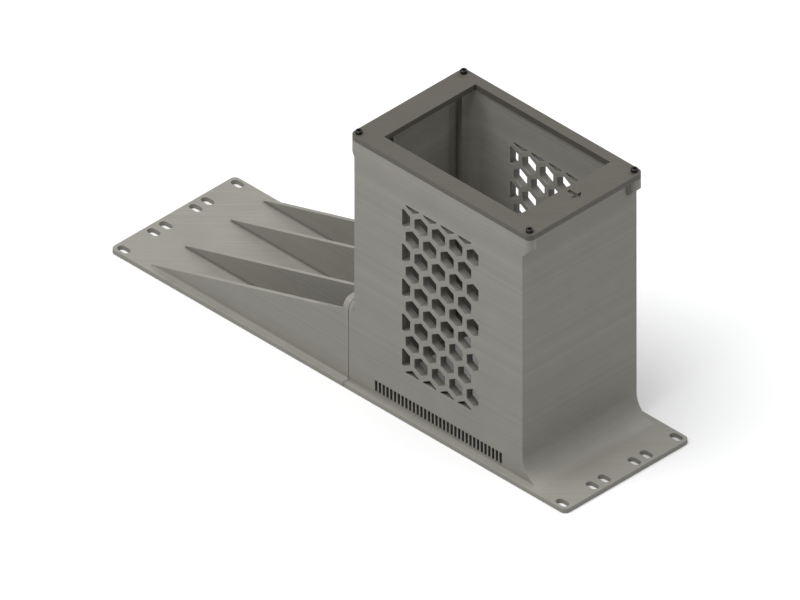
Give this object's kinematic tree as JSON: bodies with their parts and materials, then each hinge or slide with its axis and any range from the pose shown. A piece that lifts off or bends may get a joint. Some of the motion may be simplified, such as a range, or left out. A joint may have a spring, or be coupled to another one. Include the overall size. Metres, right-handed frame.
{
  "type": "rack mount bracket",
  "caption": "Printed rack panel with a deep honeycomb-vented sleeve that holds a desktop device, a ribbed side wing bolted to it and a screwed-on retaining frame.",
  "frame": {"origin": "middle of the panel's front face, which lies on Z = 0", "axes": "+X across the rack from the wing to the sleeve's free end, +Y along the rack's height, +Z from the panel's front face into the rack"},
  "size_m": [0.4826, 0.1326, 0.2334],
  "materials": {
    "printed_plastic": "matt warm grey printed plastic with fine layer lines",
    "frame_plastic": "matt darker grey printed plastic with fine layer lines",
    "black_screw": "black oxide",
    "brass_insert": "turned and knurled"
  },
  "bodies": {
    "root": {"device_sleeve": "printed_plastic", "ribbed_wing": "printed_plastic", "retaining_frame": "frame_plastic", "wing_screw_1": "black_screw", "wing_screw_2": "black_screw", "wing_screw_3": "black_screw", "wing_screw_4": "black_screw", "wing_screw_5": "black_screw", "wing_screw_6": "black_screw", "wing_insert_1": "brass_insert", "wing_insert_2": "brass_insert", "wing_insert_3": "brass_insert", "wing_insert_4": "brass_insert", "wing_insert_5": "brass_insert", "wing_insert_6": "brass_insert", "frame_screw_1": "black_screw", "frame_screw_2": "black_screw", "frame_screw_3": "black_screw", "frame_screw_4": "black_screw", "frame_insert_1": "brass_insert", "frame_insert_2": "brass_insert", "frame_insert_3": "brass_insert", "frame_insert_4": "brass_insert"}
  },
  "joints": []
}
